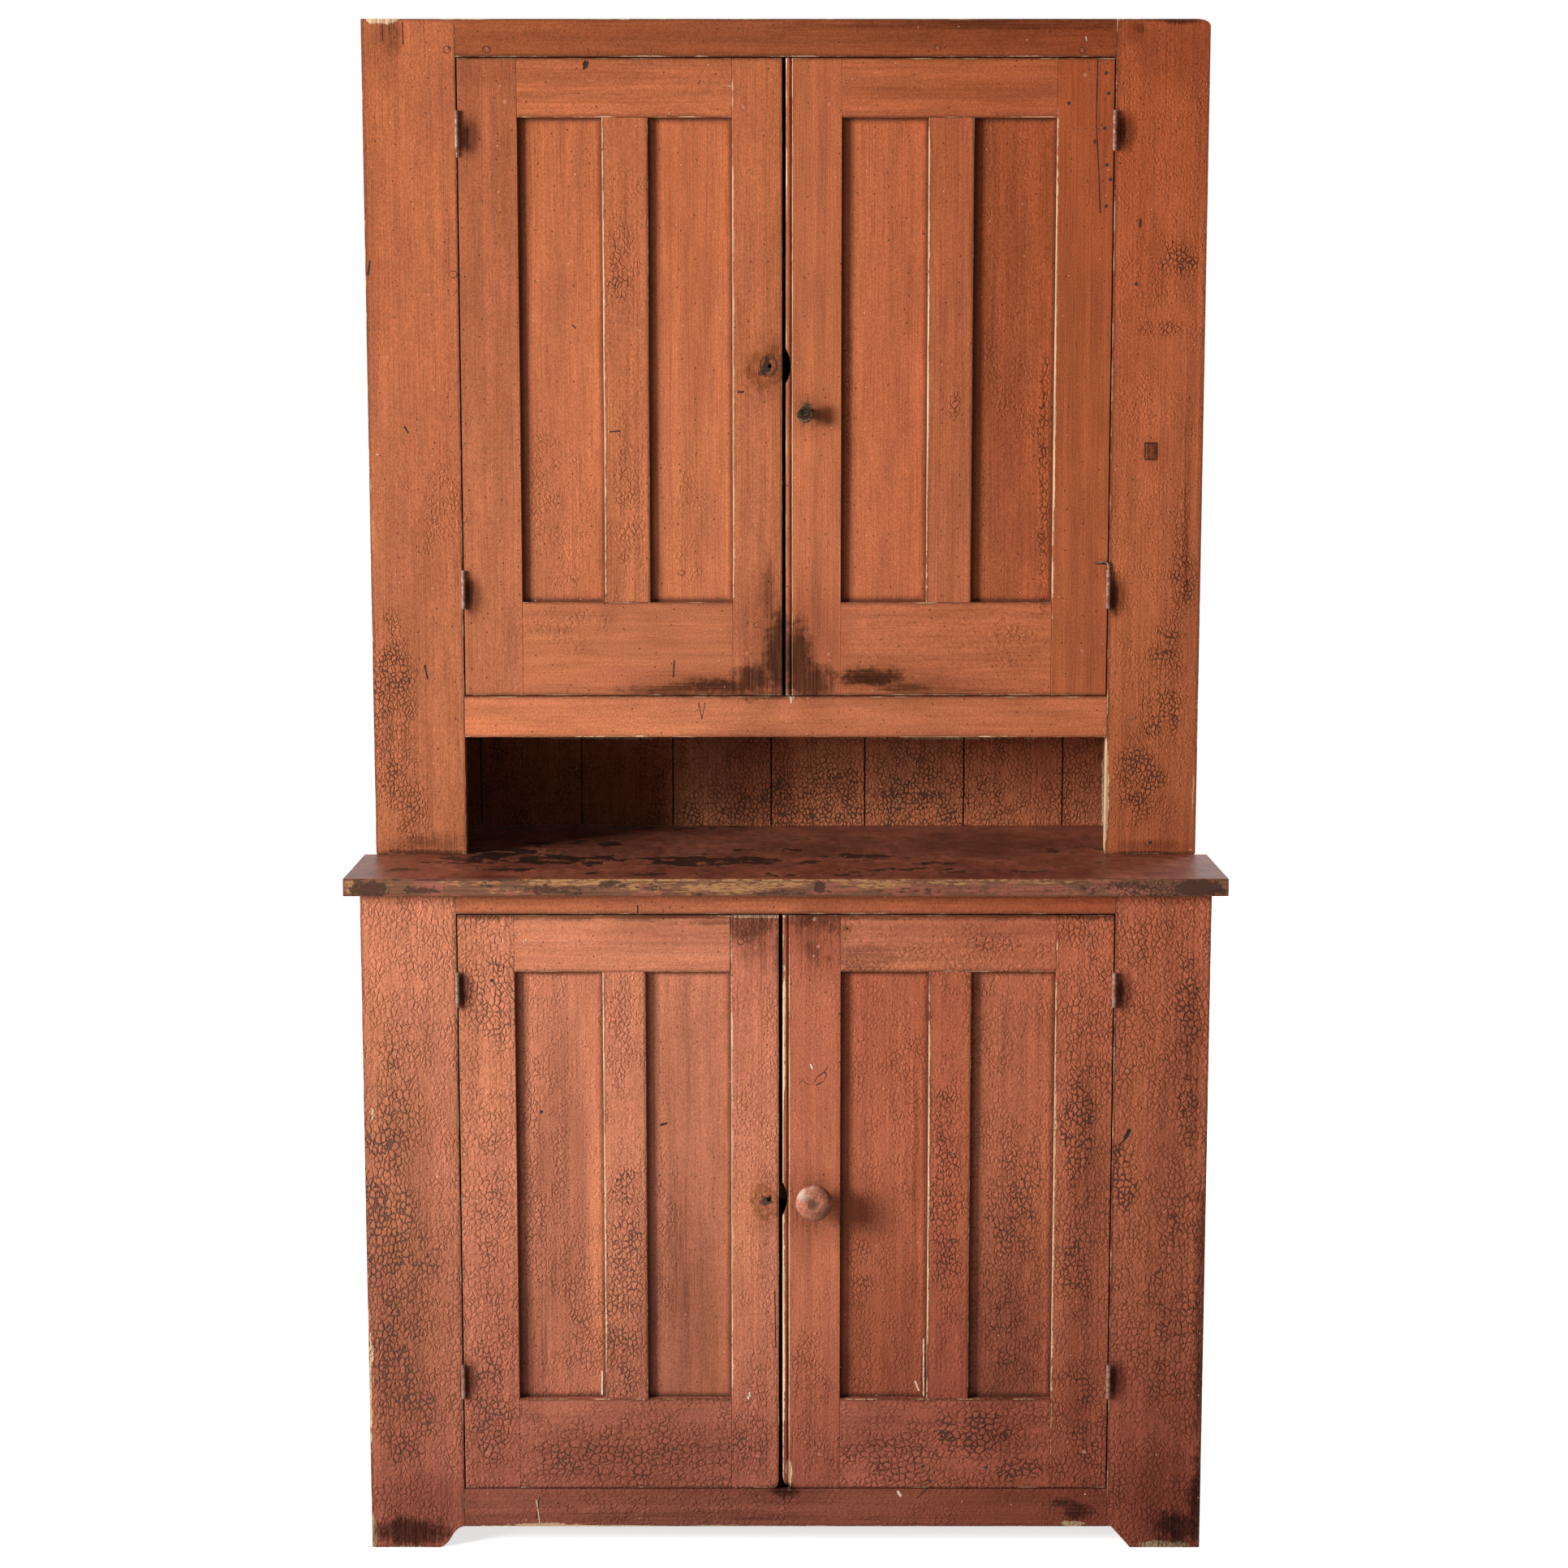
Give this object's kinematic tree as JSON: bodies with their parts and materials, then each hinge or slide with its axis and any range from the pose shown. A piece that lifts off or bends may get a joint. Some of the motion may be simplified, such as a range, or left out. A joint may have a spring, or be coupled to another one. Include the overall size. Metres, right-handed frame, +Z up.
{
  "type": "step back cupboard",
  "caption": "Step back cupboard with panelled doors above and below, an open niche over a deep counter, and shaped front feet.",
  "frame": {"origin": "bottom centre of the whole cupboard, on the floor", "axes": "+Z up, -Y out of the front, +X to the right of someone facing the doors"},
  "size_m": [1.2064, 0.5124, 2.127],
  "materials": {
    "upper_paint": "old orange-red milk paint, dry and crackled",
    "lower_paint": "old brick-red milk paint, crackled and grimy",
    "counter_paint": "dark red-brown worn and polished by use",
    "inside_wood": "bare old pine",
    "knob_wood": "turned hardwood, dark with handling",
    "hinge_iron": "butt hinges painted over with the case",
    "dark_iron": "dark worn iron"
  },
  "bodies": {
    "case": {"lower_left_side_board": "lower_paint", "lower_left_case_stile": "lower_paint", "lower_right_side_board": "lower_paint", "lower_right_case_stile": "lower_paint", "lower_top_rail": "lower_paint", "lower_bottom_rail": "lower_paint", "lower_floor_board": "inside_wood", "lower_shelf": "inside_wood", "lower_back_boards": "inside_wood", "counter_top": "counter_paint", "upper_left_side_board": "upper_paint", "upper_left_case_stile": "upper_paint", "upper_right_side_board": "upper_paint", "upper_right_case_stile": "upper_paint", "upper_top_rail": "upper_paint", "upper_mid_rail": "upper_paint", "upper_floor_board": "inside_wood", "upper_shelf_1": "inside_wood", "upper_shelf_2": "inside_wood", "upper_top_board": "inside_wood", "upper_back_boards": "inside_wood", "lower_left_low_hinge": "hinge_iron", "lower_left_high_hinge": "hinge_iron", "lower_right_low_hinge": "hinge_iron", "lower_right_high_hinge": "hinge_iron", "upper_left_low_hinge": "hinge_iron", "upper_left_high_hinge": "hinge_iron", "upper_right_low_hinge": "hinge_iron", "upper_right_high_hinge": "hinge_iron"},
    "lower_left_door": {"lower_left_door_hinge_stile": "lower_paint", "lower_left_door_lock_stile": "lower_paint", "lower_left_door_top_rail": "lower_paint", "lower_left_door_bottom_rail": "lower_paint", "lower_left_door_muntin": "lower_paint", "lower_left_door_outer_panel": "lower_paint", "lower_left_door_inner_panel": "lower_paint"},
    "lower_right_door": {"lower_right_door_hinge_stile": "lower_paint", "lower_right_door_lock_stile": "lower_paint", "lower_right_door_top_rail": "lower_paint", "lower_right_door_bottom_rail": "lower_paint", "lower_right_door_muntin": "lower_paint", "lower_right_door_outer_panel": "lower_paint", "lower_right_door_inner_panel": "lower_paint"},
    "upper_left_door": {"upper_left_door_hinge_stile": "upper_paint", "upper_left_door_lock_stile": "upper_paint", "upper_left_door_top_rail": "upper_paint", "upper_left_door_bottom_rail": "upper_paint", "upper_left_door_muntin": "upper_paint", "upper_left_door_outer_panel": "upper_paint", "upper_left_door_inner_panel": "upper_paint"},
    "upper_right_door": {"upper_right_door_hinge_stile": "upper_paint", "upper_right_door_lock_stile": "upper_paint", "upper_right_door_top_rail": "upper_paint", "upper_right_door_bottom_rail": "upper_paint", "upper_right_door_muntin": "upper_paint", "upper_right_door_outer_panel": "upper_paint", "upper_right_door_inner_panel": "upper_paint"},
    "lower_latch": {"lower_latch_knob": "knob_wood", "lower_latch_bar": "inside_wood"},
    "upper_latch": {"upper_iron_latch": "dark_iron"}
  },
  "joints": [
    {"name": "lower_left_door_hinge", "type": "hinge", "parent": "case", "child": "lower_left_door", "pos_m": [-0.4515, -0.22115, 0.4975], "axis": [0, 0, -1], "range_deg": [0, 170]},
    {"name": "lower_right_door_hinge", "type": "hinge", "parent": "case", "child": "lower_right_door", "pos_m": [0.4515, -0.22115, 0.4975], "axis": [0, 0, 1], "range_deg": [0, 170]},
    {"name": "upper_left_door_hinge", "type": "hinge", "parent": "case", "child": "upper_left_door", "pos_m": [-0.4555, -0.03285, 1.632], "axis": [0, 0, -1], "range_deg": [0, 170]},
    {"name": "upper_right_door_hinge", "type": "hinge", "parent": "case", "child": "upper_right_door", "pos_m": [0.4555, -0.03285, 1.632], "axis": [0, 0, 1], "range_deg": [0, 170]},
    {"name": "lower_latch_turn", "type": "hinge", "parent": "lower_right_door", "child": "lower_latch", "pos_m": [0.039, -0.20685, 0.508], "axis": [0, -1, 0], "range_deg": [0, 90]},
    {"name": "upper_latch_turn", "type": "hinge", "parent": "upper_right_door", "child": "upper_latch", "pos_m": [0.0274, -0.01855, 1.588], "axis": [0, -1, 0], "range_deg": [0, 90]}
  ]
}
